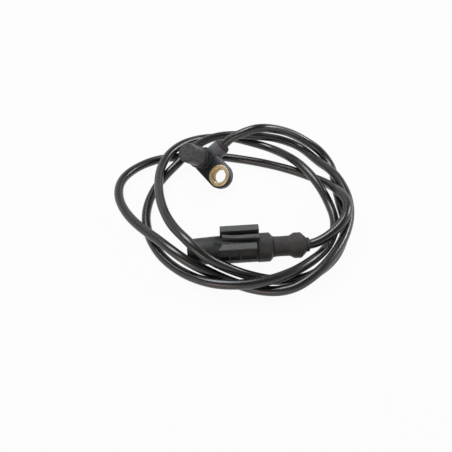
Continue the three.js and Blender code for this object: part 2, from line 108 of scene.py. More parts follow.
# Each guard wall's nose, its tail and how far that tail leans
NEAR_RAIL = (15.7, 36.2, 1.2)
FAR_RAIL = (17.4, 37.8, 0.3)
RAIL_TOP = 10.1
RAIL_OUTER = 8.0
RAIL_INNER = 4.1
RAIL_FOOT = 0.4
TONGUE_START = 18.2
TONGUE_HALF_WIDTH = 1.15
TONGUE_TOP = 10.4
TONGUE_LIFT = 1.3
TONGUE_THICKNESS = 3.6
TONGUE_ROOT = 4.0
TONGUE_OVERLAP = 0.5
TRENCH_OVERLAP = 0.3
RAMP_START = 13.7
RAMP_DEPTH = 1.9
PANEL_DEPTH = 1.1
PANEL_RIBS = (21.6, 27.2)
PANEL_RIB_WIDTH = 0.7
PANEL_MARGIN = 0.55
PANEL_FOOT = 1.2
COLLAR_RADIUS = 7.6
COLLAR_END = 43.0
COLLAR_CHAMFER = 1.5
COLLAR_LINE = 0.5
SLEEVE_RADIUS = 5.4
BULGE_RADIUS = 6.8
BULGE_START = 53.6
BULGE_CREST = (56.2, 59.6)
BOOT_END = 62.2
RING_RADIUS = 3.8
PLUG_LENGTH = 64.1
SOCKET_RADIUS = 5.4
SOCKET_DEPTH = 15.5
WEB_THICKNESS = 3.0
CAVITY_RADIUS = 4.5
PIN_RADIUS = 0.75
PIN_SPACING = 2.15
PIN_CLEARANCE = 0.1
BOOT_SPIGOT = 7.0
CABLE_END_IN_PLUG = 48.5
RING_SPIGOT_LENGTH = 1.8
RING_SPIGOT_RADIUS = 3.4

# Cable
CABLE_RADIUS = 2.6
STRAIGHT_RUN = 4.7
ROUTE = [
    (22.5, 12.2, 25.2), (30.0, 14.0, 26.8), (39.0, 17.3, 23.6), (50.0, 21.5, 17.4),
    (60.5, 22.0, 11.0), (70.6, 17.2, 6.2), (77.2, 5.4, 2.7), (77.0, -9.5, 2.7),
    (77.6, -25.0, 2.7), (78.4, -40.5, 2.7), (74.5, -54.0, 2.7), (66.0, -67.5, 2.7),
    (52.0, -77.0, 2.7), (36.5, -78.4, 2.7), (23.0, -76.6, 4.4), (10.0, -75.2, 10.6),
    (-1.3, -72.0, 16.8), (-8.5, -65.0, 19.0), (-15.5, -55.9, 17.4), (-20.9, -45.3, 15.6),
    (-25.2, -32.2, 13.4), (-27.8, -16.5, 11.0), (-27.8, -1.5, 9.3), (-23.0, 13.0, 8.8),
    (-14.0, 24.0, 7.2), (-2.0, 33.5, 2.9), (12.0, 34.6, 2.7), (27.0, 29.6, 2.7),
    (41.0, 22.0, 3.4), (52.0, 8.5, 7.4), (60.0, -4.5, 9.2), (66.5, -16.5, 7.4),
    (71.6, -28.5, 3.4), (72.5, -41.5, 2.7), (66.5, -56.0, 2.7), (54.5, -70.0, 6.8),
    (40.0, -80.0, 9.0), (22.5, -84.9, 9.2), (5.4, -83.6, 7.8), (-8.7, -76.0, 4.2),
    (-21.2, -65.2, 2.7), (-30.0, -51.7, 2.7), (-34.2, -36.0, 2.7), (-33.0, -20.0, 2.7),
    (-27.5, -5.0, 2.8), (-17.5, 5.5, 7.2), (-9.0, 17.0, 9.0), (2.5, 26.4, 9.2),
    (16.5, 29.6, 8.8), (30.5, 28.1, 9.2), (45.0, 29.5, 5.6), (59.0, 25.0, 2.8),
    (67.9, 10.5, 4.2), (75.6, -5.0, 8.4), (80.0, -20.0, 9.2), (80.6, -34.0, 9.2),
    (77.0, -48.8, 9.2), (69.4, -63.4, 9.2), (58.5, -76.5, 8.6), (43.5, -85.5, 5.4),
    (28.5, -84.5, 2.8), (13.5, -80.0, 4.0), (1.0, -76.0, 8.0), (-7.0, -74.0, 11.8),
    (-15.0, -68.5, 13.4), (-24.5, -59.0, 12.0), (-35.5, -48.4, 9.8), (-45.0, -36.3, 8.4),
    (-50.8, -23.0, 7.4), (-50.9, -9.0, 6.2), (-43.6, 3.5, 4.4), (-31.8, 12.6, 2.8),
    (-15.0, 15.6, 2.7), (2.0, 16.0, 2.7), (18.5, 13.4, 2.7), (35.0, 9.3, 2.7),
    (51.0, 3.4, 2.7), (64.0, -3.5, 2.8), (72.0, -12.0, 5.6), (75.5, -25.5, 13.0),
    (78.0, -36.5, 15.8), (74.5, -48.0, 15.6), (66.5, -55.6, 11.8), (61.0, -57.9, 9.2),
]


# Camera, as fitted to the photo
CAMERA_TARGET = np.array([11.3, -39.9, 0.0])
CAMERA_DISTANCE = 272.0
CAMERA_ELEVATION = math.radians(50)
CAMERA_LENS = 38.23
CAMERA_SENSOR = 36.0


# Places: each frame turns local millimetres into the row's metres

def unit(v):
    """A vector over its own length."""
    return v / np.linalg.norm(v)


UP = unit(BARREL_AXIS)
ALONG = unit(LUG_AXIS - UP * (LUG_AXIS @ UP))
ACROSS = np.cross(UP, ALONG)
HEAD_AXES = np.array([ALONG, ACROSS, UP])
HEAD_ORIGIN = BUSH_PLACE - LUG_REACH * ALONG
EXIT_LINE = math.sin(BOSS_TURN) * ALONG + math.cos(BOSS_TURN) * ACROSS
EXIT_SIDE = math.cos(BOSS_TURN) * ALONG - math.sin(BOSS_TURN) * ACROSS
BOSS_AXES = np.array([EXIT_SIDE, -UP, EXIT_LINE])
BOSS_ORIGIN = HEAD_ORIGIN + BOSS_HEIGHT * UP
PLUG_DIRECTION = np.array([math.cos(PLUG_TURN), math.sin(PLUG_TURN), 0])
PLUG_LEFT = np.array([-math.sin(PLUG_TURN), math.cos(PLUG_TURN), 0])
PLUG_AXES = np.array([PLUG_DIRECTION, PLUG_LEFT, np.array([0, 0, 1])])
PLUG_TURNED = np.array([PLUG_LEFT, np.array([0, 0, 1]), PLUG_DIRECTION])

HEAD = (HEAD_ORIGIN, HEAD_AXES)
BUSH = (BUSH_PLACE, HEAD_AXES)
BOSS = (BOSS_ORIGIN, BOSS_AXES)
PLUG = (PLUG_FRONT, PLUG_AXES)
PLUG_LATHE = (PLUG_FRONT, PLUG_TURNED)
ROW = (np.zeros(3), np.eye(3))


def placed(points, place):
    """Local points in millimetres, times the frame's axes, plus its origin, in metres."""
    origin, axes = place
    return (points @ axes + origin) * MM


# Surfaces

def rounded(corners, radii, steps=5, closed=False):
    """A polyline with each corner replaced by an arc tangent to both its sides.

    A corner's arc starts radius / tan(half the angle) before it and is sampled evenly in angle by
    turning from one side's normal to the other's about the arc's centre.
    """
    corners = np.asarray(corners, float)
    radii = np.broadcast_to(radii, len(corners))
    made = []
    for i, (corner, radius) in enumerate(zip(corners, radii)):
        end = not closed and i in (0, len(corners) - 1)
        if end or radius <= 0:
            made.append(corner[None])
            continue
        before = unit(corners[i - 1] - corner)
        after = unit(corners[(i + 1) % len(corners)] - corner)
        half = math.acos(np.clip(before @ after, -1, 1)) / 2
        if half > STRAIGHT:
            made.append(corner[None])
            continue
        centre = corner + unit(before + after) * radius / math.sin(half)
        first = corner + before * radius / math.tan(half) - centre
        last = corner + after * radius / math.tan(half) - centre
        share = np.linspace(0, 1, steps + 1)[:, None]
        sweep = math.pi - 2 * half
        arc = (np.sin((1 - share) * sweep) * first + np.sin(share * sweep) * last) / math.sin(sweep)
        made.append(centre + arc)
    return np.vstack(made)


def divided(profile, longest=1.5):
    """A polyline with points added evenly on its long sides, so that no step is longer than given."""
    steps = np.maximum(1, np.ceil(np.linalg.norm(np.diff(profile, axis=0), axis=1) / longest).astype(int))
    side = np.repeat(np.arange(len(steps)), steps)
    share = (np.arange(len(side)) - np.repeat(np.cumsum(steps) - steps, steps)) / np.repeat(steps, steps)
    return np.vstack([profile[side] + share[:, None] * (profile[side + 1] - profile[side]), profile[-1:]])


def grid(points, wrap_rows=False):
    """Vertices and quads of a grid of points, rows by columns, closed round its columns.

    Its rows close on each other too, or else its two end rows are closed by caps.
    """
    rows, columns = points.shape[:2]
    index = np.arange(rows * columns).reshape(rows, columns)
    down = np.roll(index, -1, 0) if wrap_rows else index[1:]
    top = index if wrap_rows else index[:-1]
    quads = np.stack([top, np.roll(top, -1, 1), np.roll(down, -1, 1), down], -1)
    faces = quads.reshape(-1, 4).tolist()
    if not wrap_rows:
        faces.append(index[0, ::-1].tolist())
        faces.append(index[-1].tolist())
    return points.reshape(-1, 3), faces


def turned(profile, segments=96, wrap=False):
    """A profile of (radius, height) turned about Z: (r cos a, r sin a, h) for a from 0 to 2 pi."""
    profile = np.asarray(profile, float)
    if not wrap:
        profile = divided(profile)
    angle = np.linspace(0, 2 * math.pi, segments, endpoint=False)
    radius, height = profile[:, :1], profile[:, 1:]
    points = np.stack([radius * np.cos(angle), radius * np.sin(angle), height + 0 * angle], -1)
    return grid(points, wrap_rows=wrap)


def prism(outline, low, high, edge=0.0, steps=4, between=0):
    """An outline in the XY plane carried from one height to another, its two rims rounded by an edge.

    A level's points are the outline moved inwards along its normals by edge times (1 - sin t), at
    the height of the rim plus edge times (1 - cos t), for t from 0 to a quarter turn.
    """
    following = np.roll(outline, -1, 0)
    if (outline[:, 0] * following[:, 1] - outline[:, 1] * following[:, 0]).sum() < 0:
        outline = outline[::-1]
    ahead = np.roll(outline, -1, 0) - outline
    ahead /= np.linalg.norm(ahead, axis=1, keepdims=True)
    behind = np.roll(ahead, 1, 0)
    normal = np.stack([ahead[:, 1] + behind[:, 1], -ahead[:, 0] - behind[:, 0]], 1)
    normal /= np.maximum((normal ** 2).sum(1, keepdims=True) / 2, 1e-9)
    turn = np.linspace(0, math.pi / 2, steps + 1)
    inset = edge * (1 - np.sin(turn))
    rise = edge * (1 - np.cos(turn))
    middle = np.linspace(low + edge, high - edge, between + 2)[1:-1]
    insets = np.concatenate([inset, 0 * middle, inset[::-1]])
    heights = np.concatenate([low + rise, middle, high - rise[::-1]])
    if edge == 0:
        insets, heights = np.zeros(2), np.array([low, high])
    flat = outline[None] - insets[:, None, None] * normal[None]
    height = np.broadcast_to(heights[:, None, None], flat.shape[:2] + (1,))
    return grid(np.concatenate([flat, height], -1))


def box_outline(x0, x1, y0, y1, radius=0.0, steps=3):
    """A rectangle's outline, its corners rounded."""
    return rounded([(x0, y0), (x1, y0), (x1, y1), (x0, y1)], radius, steps, closed=True)


def carried(path, section):
    """A closed section carried along a path: P(s) + u side(s) + v normal(s).

    The side is the tangent crossed with the vertical, which a lying cable never runs along.
    """
    tangent = np.gradient(path, axis=0)
    tangent /= np.linalg.norm(tangent, axis=1, keepdims=True)
    side = np.cross(tangent, [0, 0, 1])
    side /= np.linalg.norm(side, axis=1, keepdims=True)
    normal = np.cross(side, tangent)
    points = path[:, None] + section[..., :1] * side[:, None] + section[..., 1:] * normal[:, None]
    return grid(points)


def mesh_object(name, surface, place=ROW):
    """A mesh object at the origin from vertices and faces, with its place in the mesh."""
    vertices, faces = surface
    mesh = bpy.data.meshes.new(name)
    mesh.from_pydata(placed(vertices, place).tolist(), [], faces)
    mesh.validate()
    made = bpy.data.objects.new(name, mesh)
    bpy.context.scene.collection.objects.link(made)
    return made


def applied(made):
    """Replaces an object's mesh by the result of its modifiers."""
    graph = bpy.context.evaluated_depsgraph_get()
    mesh = bpy.data.meshes.new_from_object(made.evaluated_get(graph))
    made.modifiers.clear()
    made.data = mesh
    return made


def outwards(made, merge=1e-6):
    """Merges doubles, closes slivers left open by a cut, and turns every face of a mesh outwards."""
    work = bmesh.new()
    work.from_mesh(made.data)
    bmesh.ops.remove_doubles(work, verts=work.verts, dist=merge)
    bmesh.ops.holes_fill(work, edges=[edge for edge in work.edges if edge.is_boundary], sides=0)
    bmesh.ops.recalc_face_normals(work, faces=work.faces)
    work.to_mesh(made.data)
    work.free()
    return made


def smooth(made, angle=35, weighted=False):
    """Smooth shading everywhere but across edges sharper than the angle.

    Weighted, a corner's normal leans to its larger faces, so a flat face keeps flat to its rounded rim.
    """
    made.data.shade_smooth()
    made.data.set_sharp_from_angle(angle=math.radians(angle))
    if weighted:
        lean = made.modifiers.new("lean", "WEIGHTED_NORMAL")
        lean.keep_sharp = True
        applied(made)
    return made


def combined(made, others, operation):
    """Joins or cuts a mesh with others, one after another."""
    for other in others:
        outwards(other)
        step = made.modifiers.new("step", "BOOLEAN")
        step.operation = operation
        step.solver = "MANIFOLD"
        step.object = other
        applied(made)
        bpy.data.objects.remove(other)
    return made


# Materials

def linear(colour):
    """An sRGB hex colour as linear red, green, blue and alpha."""
    parts = [int(colour[i:i + 2], 16) / 255 for i in (1, 3, 5)]
    return [c / 12.92 if c <= 0.04045 else ((c + 0.055) / 1.055) ** 2.4 for c in parts] + [1.0]


def add(tree, kind, settings=None, inputs=None, stops=()):
    """Adds a node with its settings, links and colour stops; an input is a value or an output to link."""
    made = tree.nodes.new(kind)
    for name, value in (settings or {}).items():
        setattr(made, name, value)
    for name, value in (inputs or {}).items():
        socket = made.inputs[name]
        if isinstance(value, bpy.types.NodeSocket):
            tree.links.new(value, socket)
        else:
            socket.default_value = value
    for i, (position, colour) in enumerate(stops):
        made.color_ramp.elements[i].position = position
        made.color_ramp.elements[i].color = linear(colour)
    return made


def start(name):
    """A new material and its empty node tree."""
    made = bpy.data.materials.new(name)
    made.use_nodes = True
    made.node_tree.nodes.clear()
    return made, made.node_tree


def in_place(tree, place):
    """A point of the row in a frame's own axes: the axes times the point less the origin."""
    origin, axes = place
    where = add(tree, "ShaderNodeTexCoord").outputs["Object"]
    local = add(tree, "ShaderNodeMapping", {"vector_type": "POINT"},
                {"Vector": where, "Rotation": Matrix(axes.tolist()).to_euler(),
                 "Location": -(axes @ (origin * MM))})
    return local.outputs["Vector"]


# Sizes in millimetres of the patterns that the materials share
BLOTCH = 6.0
SPECK = 1.1
TARNISH = 3.0
# Along the cable and round it
DIE_LINE = (60.0, 0.7)
HAZE = (14.0, 5.0)


def moulded(name, dark, light, smoothness, grain, depth, specular=0.5, light_and_tone_bands=()):
    """A moulded polymer: tone drifting over blotches, rubbed patches of other roughness, eroded grain.

    smoothness is the roughness from its rubbed to its fresh patches, and grain and depth are the
    grain's size and height in millimetres. Grain is drawn coarser than the real thing, which is about
    0.1 mm, so that it shows at the picture's scale. A band is a frame, the heights in it between which
    a paler speckled colour sets in, and the colours of its specks. Bands paint highlights on lit tops,
    leave painted shade below them, and give paler tone.
    """
    made, tree = start(name)
    place = add(tree, "ShaderNodeTexCoord").outputs["Object"]
    tone = add(tree, "ShaderNodeTexNoise", None,
               {"Vector": place, "Scale": 1 / (BLOTCH * MM), "Detail": 4.0, "Roughness": 0.6})
    colour = add(tree, "ShaderNodeValToRGB", None, {"Fac": tone.outputs["Fac"]},
                 [(0.32, dark), (0.68, light)]).outputs["Color"]
    # Each band is paler speckled colour above a height: a painted highlight, painted shade below it, or
    # paler tone
    for frame_of_it, low, high, thin, thick in light_and_tone_bands:
        local = add(tree, "ShaderNodeSeparateXYZ", None, {"Vector": in_place(tree, frame_of_it)})
        share = add(tree, "ShaderNodeMapRange", {"interpolation_type": "SMOOTHSTEP"},
                    {"Value": local.outputs["Z"], "From Min": low * MM, "From Max": high * MM})
        speck = add(tree, "ShaderNodeTexNoise", None,
                    {"Vector": place, "Scale": 1 / (SPECK * MM), "Detail": 5.0, "Roughness": 0.75})
        band_colour = add(tree, "ShaderNodeValToRGB", None, {"Fac": speck.outputs["Fac"]},
                   [(0.35, thin), (0.65, thick)]).outputs["Color"]
        colour = add(tree, "ShaderNodeMix", {"data_type": "RGBA"},
                     {0: share.outputs["Result"], 6: colour, 7: band_colour}).outputs[2]
    rub = add(tree, "ShaderNodeTexNoise", None,
              {"Vector": place, "Scale": 1 / (0.45 * BLOTCH * MM), "Detail": 3.0, "Roughness": 0.55})
    rough = add(tree, "ShaderNodeMapRange", None,
                {"Value": rub.outputs["Fac"], "From Min": 0.35, "From Max": 0.65,
                 "To Min": smoothness[0], "To Max": smoothness[1]})
    pits = add(tree, "ShaderNodeTexNoise", None,
               {"Vector": place, "Scale": 1 / (grain * MM), "Detail": 2.0, "Roughness": 0.7})
    relief = add(tree, "ShaderNodeBump", None,
                 {"Height": pits.outputs["Fac"], "Distance": depth * MM, "Strength": 1.0})
    shader = add(tree, "ShaderNodeBsdfPrincipled", None,
                 {"Base Color": colour, "Roughness": rough.outputs["Result"],
                  "Normal": relief.outputs["Normal"], "IOR": 1.5, "Specular IOR Level": specular})
    add(tree, "ShaderNodeOutputMaterial", None, {"Surface": shader.outputs["BSDF"]})
    return made


def turned_metal(name, dark, light, bore_shade, bore, smoothness, ring, depth, place):
    """A turned metal: concentric tool marks about the piece's own axis, tarnish drifting over it.

    The rings are a wave in the distance from the axis, which a Mapping node centres and levels, and
    one ring is pi / 10 over the wave's scale. Within the bore's radius the metal is painted darker, as
    painted shade in the hole.
    """
    made, tree = start(name)
    where = add(tree, "ShaderNodeTexCoord").outputs["Object"]
    local = in_place(tree, place)
    tool = add(tree, "ShaderNodeTexWave", {"wave_type": "RINGS", "rings_direction": "Z"},
               {"Vector": local, "Scale": math.pi / 10 / (ring * MM), "Distortion": 0.4, "Detail": 1.0})
    level = add(tree, "ShaderNodeVectorMath", {"operation": "MULTIPLY"}, {0: local, 1: (1.0, 1.0, 0.0)})
    from_axis = add(tree, "ShaderNodeVectorMath", {"operation": "LENGTH"}, {0: level.outputs["Vector"]})
    face = add(tree, "ShaderNodeMapRange", {"interpolation_type": "SMOOTHSTEP"},
               {"Value": from_axis.outputs["Value"], "From Min": (bore + 0.05) * MM,
                "From Max": (bore + 0.5) * MM})
    tarnish = add(tree, "ShaderNodeTexNoise", None,
                  {"Vector": where, "Scale": 1 / (TARNISH * MM), "Detail": 4.0})
    wiped = add(tree, "ShaderNodeValToRGB", None, {"Fac": tarnish.outputs["Fac"]},
                [(0.35, dark), (0.62, light)]).outputs["Color"]
    # Painted shade: the bore and the rim round it take the darker bore colour
    colour = add(tree, "ShaderNodeMix", {"data_type": "RGBA"},
                 {0: face.outputs["Result"], 6: linear(bore_shade), 7: wiped}).outputs[2]
    rough = add(tree, "ShaderNodeMapRange", None,
                {"Value": tarnish.outputs["Fac"], "From Min": 0.3, "From Max": 0.7,
                 "To Min": smoothness[1], "To Max": smoothness[0]})
    relief = add(tree, "ShaderNodeBump", None,
                 {"Height": tool.outputs["Fac"], "Distance": depth * MM, "Strength": 1.0})
    shader = add(tree, "ShaderNodeBsdfPrincipled", None,
                 {"Base Color": colour, "Metallic": 1.0, "Roughness": rough.outputs["Result"],
                  "Normal": relief.outputs["Normal"]})
    add(tree, "ShaderNodeOutputMaterial", None, {"Surface": shader.outputs["BSDF"]})
    return made


def extruded_jacket(name):
    """Polyurethane drawn over twisted cores: half gloss, with long faint die lines and handling haze.

    Its UV map is in metres, along the cable and round it, so the lines run with the cable. They are
    drawn further apart than real ones, to show.
    """
    made, tree = start(name)
    where = add(tree, "ShaderNodeUVMap", {"uv_map": "run"}).outputs["UV"]
    lines = add(tree, "ShaderNodeMapping", None,
                {"Vector": where, "Scale": (1 / (DIE_LINE[0] * MM), 1 / (DIE_LINE[1] * MM), 1.0)})
    drawn = add(tree, "ShaderNodeTexNoise", None,
                {"Vector": lines.outputs["Vector"], "Scale": 1.0, "Detail": 3.0})
    haze_place = add(tree, "ShaderNodeMapping", None,
                     {"Vector": where, "Scale": (1 / (HAZE[0] * MM), 1 / (HAZE[1] * MM), 1.0)})
    haze = add(tree, "ShaderNodeTexNoise", None,
               {"Vector": haze_place.outputs["Vector"], "Scale": 1.0, "Detail": 4.0, "Roughness": 0.6})
    colour = add(tree, "ShaderNodeValToRGB", None, {"Fac": haze.outputs["Fac"]},
                 [(0.35, "#080808"), (0.7, "#141414")]).outputs["Color"]
    rough = add(tree, "ShaderNodeMapRange", None,
                {"Value": haze.outputs["Fac"], "From Min": 0.35, "From Max": 0.7,
                 "To Min": 0.25, "To Max": 0.33})
    relief = add(tree, "ShaderNodeBump", None,
                 {"Height": drawn.outputs["Fac"], "Distance": 0.006 * MM, "Strength": 1.0})
    shader = add(tree, "ShaderNodeBsdfPrincipled", None,
                 {"Base Color": colour, "Roughness": rough.outputs["Result"],
                  "Normal": relief.outputs["Normal"], "IOR": 1.5, "Specular IOR Level": 0.75})
    add(tree, "ShaderNodeOutputMaterial", None, {"Surface": shader.outputs["BSDF"]})
    return made


# Glass-filled nylon, injection moulded: satin, dark, fine grained. The barrel turns paler and mottled
# above
# 3 mm: partly its own tone, partly painted shade, which leaves the lug and neck dark as if in the barrel's
# shadow. The boss turns paler from 5 to 9 mm along its line.
HEAD_NYLON = moulded("glass_filled_nylon", "#232529", "#313337", (0.34, 0.5), 0.35, 0.03, specular=0.26,
                     light_and_tone_bands=[(HEAD, 3.0, 8.0, "#343538", "#5f5d5f"),
                            (BOSS, 5.0, 9.0, "#54565b", "#717378")])
# PBT, injection moulded: satin charcoal, flatter and a little greyer than the nylon, with a painted
# highlight that makes the tops of the guard walls and the tongue paler
PLUG_PBT = moulded("moulded_pbt", "#373838", "#454545", (0.4, 0.55), 0.3, 0.025, specular=0.22,
                   light_and_tone_bands=[(PLUG, 9.0, 10.1, "#494b4c", "#5b5d5e")])
# Thermoplastic rubber, moulded: matt and slightly warm, with soft, wide highlights
BOOT_TPE = moulded("thermoplastic_rubber", "#3a3838", "#494545", (0.45, 0.6), 0.3, 0.025, specular=0.2)
# Nitrile rubber, moulded: near black with an oily sheen
SEAL_NBR = moulded("nitrile_rubber", "#161717", "#202121", (0.4, 0.55), 0.25, 0.01)
# Silicone rubber, moulded: even orange, softly shining
SILICONE = moulded("orange_silicone", "#b04a1e", "#c2602c", (0.4, 0.55), 0.4, 0.01)
# Unpigmented PBT, moulded: off-white, satin
WHITE_PBT = moulded("white_pbt", "#d2cfc4", "#dedbd2", (0.4, 0.5), 0.3, 0.01)
# Epoxy, transfer moulded round a chip: black with a fine dull grain
EPOXY = moulded("epoxy_package", "#141415", "#1d1d1f", (0.35, 0.5), 0.15, 0.01)
# Cross-linked polyethylene insulation, extruded: plain strong colours, half gloss
BLUE_CORE = moulded("blue_core_insulation", "#2a3480", "#343f92", (0.35, 0.45), 0.4, 0.01)
BROWN_CORE = moulded("brown_core_insulation", "#6f4228", "#7d4d31", (0.35, 0.45), 0.4, 0.01)
# Ferrite, pressed and sintered: dark grey, dull, gritty
FERRITE = moulded("sintered_magnet", "#3c3c3e", "#4a4a4c", (0.45, 0.6), 0.2, 0.02)
# Brass, turned and tumbled: pale gold, softly shining, with faint rings and painted shade in its bore;
# its tool marks are really 0.1 mm apart and are drawn at 0.45 mm to show
BRASS = turned_metal("turned_brass", "#c4a87b", "#e2cea6", "#a3895a", BUSH_BORE, (0.36, 0.5), 0.45, 0.012,
                     BUSH)
# Tin-plated brass, stamped and drawn: silvery, half bright; its drawing marks are finer than 0.1 mm
# and are drawn at 0.5 mm to show
TIN = turned_metal("tin_plated_brass", "#a9acae", "#c9cccd", "#a9acae", 0.0, (0.25, 0.4), 0.5, 0.004,
                   PLUG_LATHE)
# Polyurethane, extruded over two twisted cores: black, half gloss, with long bright streaks of light
JACKET = extruded_jacket("polyurethane_jacket")


def finish(made, material, slot, *nodes):
    """Gives a piece its material and body, and hides the solids that it stands for; its slot is not used.
    """
    made.data.materials.clear()
    made.data.materials.append(material)
    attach(made, "root")
    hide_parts(*nodes)
    return made


# Camera

def make_camera():
    """The photograph's view: 50 degrees down from the level, 272 mm from the middle of the picture."""
    back = np.array([0, -math.cos(CAMERA_ELEVATION), math.sin(CAMERA_ELEVATION)])
    place = CAMERA_TARGET + CAMERA_DISTANCE * back
    lens = bpy.data.cameras.new("camera")
    lens.sensor_width = CAMERA_SENSOR
    lens.lens = CAMERA_LENS
    lens.clip_start = 0.01
    camera = bpy.data.objects.new("camera", lens)
    camera.location = place * MM
    camera.rotation_euler = (math.pi / 2 - CAMERA_ELEVATION, 0, 0)
    bpy.context.scene.collection.objects.link(camera)
    bpy.context.scene.camera = camera


make_camera()


# Cable

def centripetal(points, per_span):
    """A Catmull-Rom curve whose knots are spaced by the square root of each span's length."""
    p = np.vstack([2 * points[0] - points[1], points, 2 * points[-1] - points[-2]])
    knot = np.concatenate([[0], np.cumsum(np.linalg.norm(np.diff(p, axis=0), axis=1) ** 0.5)])
    share = np.linspace(0, 1, per_span, endpoint=False)
    t0, t1, t2, t3 = (knot[i:len(knot) - 3 + i, None] for i in range(4))
    t = (t1 + (t2 - t1) * share)[..., None]
    t0, t1, t2, t3 = (k[..., None] for k in (t0, t1, t2, t3))
    p0, p1, p2, p3 = (p[i:len(p) - 3 + i, None] for i in range(4))
    a1 = (t1 - t) / (t1 - t0) * p0 + (t - t0) / (t1 - t0) * p1
    a2 = (t2 - t) / (t2 - t1) * p1 + (t - t1) / (t2 - t1) * p2
    a3 = (t3 - t) / (t3 - t2) * p2 + (t - t2) / (t3 - t2) * p3
    b1 = (t2 - t) / (t2 - t0) * a1 + (t - t0) / (t2 - t0) * a2
    b2 = (t3 - t) / (t3 - t1) * a2 + (t - t1) / (t3 - t1) * a3
    curve = (t2 - t) / (t2 - t1) * b1 + (t - t1) / (t2 - t1) * b2
    return np.vstack([curve.reshape(-1, 3), points[-1:]])


def spaced(curve, count):
    """A curve's points moved to even steps of its length, and that length."""
    reach = np.concatenate([[0], np.cumsum(np.linalg.norm(np.diff(curve, axis=0), axis=1))])
    at = np.linspace(0, reach[-1], count)
    return np.stack([np.interp(at, reach, curve[:, k]) for k in range(3)], 1), reach[-1]


def cable_line(count, ease=4.0, held=16.0, fade=12.0):
    """The cable's middle line: straight in its two ends, and eased between them.

    Easing is a weighted mean of the line about each point, with a bell curve of the given width in
    millimetres as weights. It sets in over the fade's length from the head, and ends in the same way
    before the plug's end, where the held length stays straight.
    """
    relief_end = BOSS_LENGTH + GAP + RELIEF_LENGTH
    in_head = [CABLE_INSERTION, (CABLE_INSERTION + relief_end) / 2, relief_end, relief_end + STRAIGHT_RUN]
    in_plug = [PLUG_LENGTH, BULGE_CREST[0], (BULGE_CREST[0] + CABLE_END_IN_PLUG) / 2, CABLE_END_IN_PLUG]
    points = np.vstack([
        [BOSS_ORIGIN + EXIT_LINE * d for d in in_head],
        ROUTE,
        [PLUG_FRONT + PLUG_DIRECTION * s for s in in_plug],
    ])
    line, length = spaced(centripetal(points, 40), count)
    at = np.linspace(0, length, count)
    weight = np.exp(-0.5 * ((at[:, None] - at[None]) / ease) ** 2)
    eased = (weight / weight.sum(1, keepdims=True)) @ line
    clear = np.minimum(at - relief_end + CABLE_INSERTION, length - at - held)
    free = np.clip(clear / fade, 0, 1)[:, None]
    line = line + (eased - line) * free
    line[:, 2] = np.maximum(line[:, 2], CABLE_RADIUS)
    return spaced(line, count)


def make_cable(rings=1100, sides=24, lay_length=36.0, swell=0.025):
    """A round jacket with a faint double helix where its two twisted cores press from inside."""
    line, length = cable_line(rings)
    at = np.linspace(0, length, rings)[:, None]
    angle = np.linspace(0, 2 * math.pi, sides, endpoint=False)
    radius = CABLE_RADIUS - swell + swell * np.cos(2 * (angle + 2 * math.pi * at / lay_length))
    section = np.stack([radius * np.cos(angle), radius * np.sin(angle)], -1)
    made = mesh_object("cable_jacket", carried(line, section))
    run = made.data.uv_layers.new(name="run")
    corner = np.empty(len(made.data.loops), int)
    made.data.loops.foreach_get("vertex_index", corner)
    ring, column = corner // sides, corner % sides
    faces = len(made.data.polygons)
    count_of = np.empty(faces, int)
    made.data.polygons.foreach_get("loop_total", count_of)
    face = np.repeat(np.arange(faces), count_of)
    first, last = np.full(faces, sides), np.zeros(faces, int)
    np.minimum.at(first, face, column)
    np.maximum.at(last, face, column)
    wraps = (first == 0) & (last == sides - 1) & (count_of == 4)
    column = np.where(wraps[face] & (column == 0), sides, column)
    around = column / sides * 2 * math.pi * CABLE_RADIUS
    uv = np.stack([ring * length / (rings - 1), around], 1) * MM
    run.data.foreach_set("uv", uv.astype(np.float32).ravel())
    outwards(made)
    return smooth(made), line


cable, cable_middle = make_cable()
finish(cable, JACKET, "cable_jacket", "cable")


# Sensor head

def stadium(radius, reach, steps=40):
    """Two half circles of one radius, about the origin and about (reach, 0)."""
    near = np.linspace(math.pi / 2, 3 * math.pi / 2, steps)
    far = np.linspace(-math.pi / 2, math.pi / 2, steps)
    left = np.stack([radius * np.cos(near), radius * np.sin(near)], 1)
    right = np.stack([reach + radius * np.cos(far), radius * np.sin(far)], 1)
    return np.vstack([left, right])


